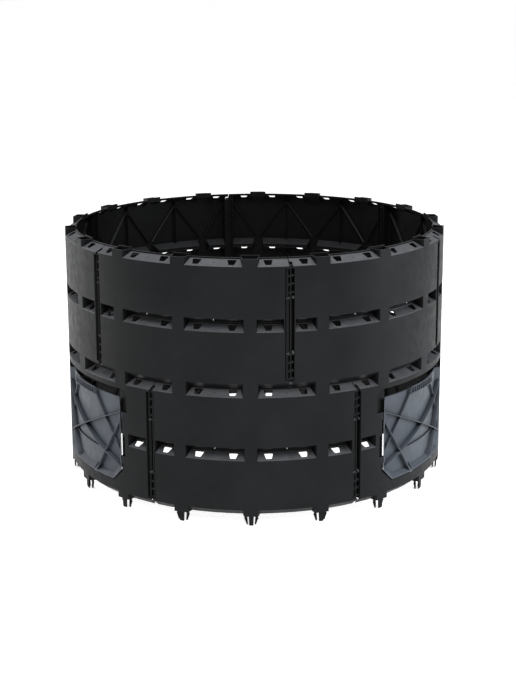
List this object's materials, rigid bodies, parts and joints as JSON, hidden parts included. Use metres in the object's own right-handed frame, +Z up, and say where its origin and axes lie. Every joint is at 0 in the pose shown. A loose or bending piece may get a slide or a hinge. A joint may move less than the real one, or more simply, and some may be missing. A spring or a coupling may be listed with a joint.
{
  "type": "compost bin",
  "caption": "Round black plastic compost bin of interlocking wall panels in two tiers, open at the top, with two grey lift-out hatches low on its sides",
  "frame": {"origin": "on the ground under the middle of the ring, at the tips of the foot pegs", "axes": "+Z up; -Y is the front, the side that faces the camera; +X is the camera's right"},
  "size_m": [1.2, 1.2, 0.7926],
  "materials": {
    "panel": "fine moulded grain",
    "rod": "smooth",
    "hatch": "fine moulded grain"
  },
  "bodies": {
    "ring": {"lower_panel_front": "panel", "hatch_panel_right": "panel", "lower_panel_right": "panel", "lower_panel_rear": "panel", "lower_panel_left": "panel", "hatch_panel_left": "panel", "upper_panel_1": "panel", "upper_panel_2": "panel", "upper_panel_3": "panel", "upper_panel_4": "panel", "upper_panel_5": "panel", "upper_panel_6": "panel", "seam_rod_lower_1": "rod", "seam_rod_lower_2": "rod", "seam_rod_lower_3": "rod", "seam_rod_lower_4": "rod", "seam_rod_lower_5": "rod", "seam_rod_lower_6": "rod", "seam_rod_upper_1": "rod", "seam_rod_upper_2": "rod", "seam_rod_upper_3": "rod", "seam_rod_upper_4": "rod", "seam_rod_upper_5": "rod", "seam_rod_upper_6": "rod"},
    "hatch_right": {"hatch_right": "hatch"},
    "hatch_left": {"hatch_left": "hatch"}
  },
  "joints": [
    {"name": "hatch_right_lift", "type": "slide", "parent": "ring", "child": "hatch_right", "axis": [0, 0, 1], "range_m": [0, 0.021]},
    {"name": "hatch_left_lift", "type": "slide", "parent": "ring", "child": "hatch_left", "axis": [0, 0, 1], "range_m": [0, 0.021]}
  ]
}
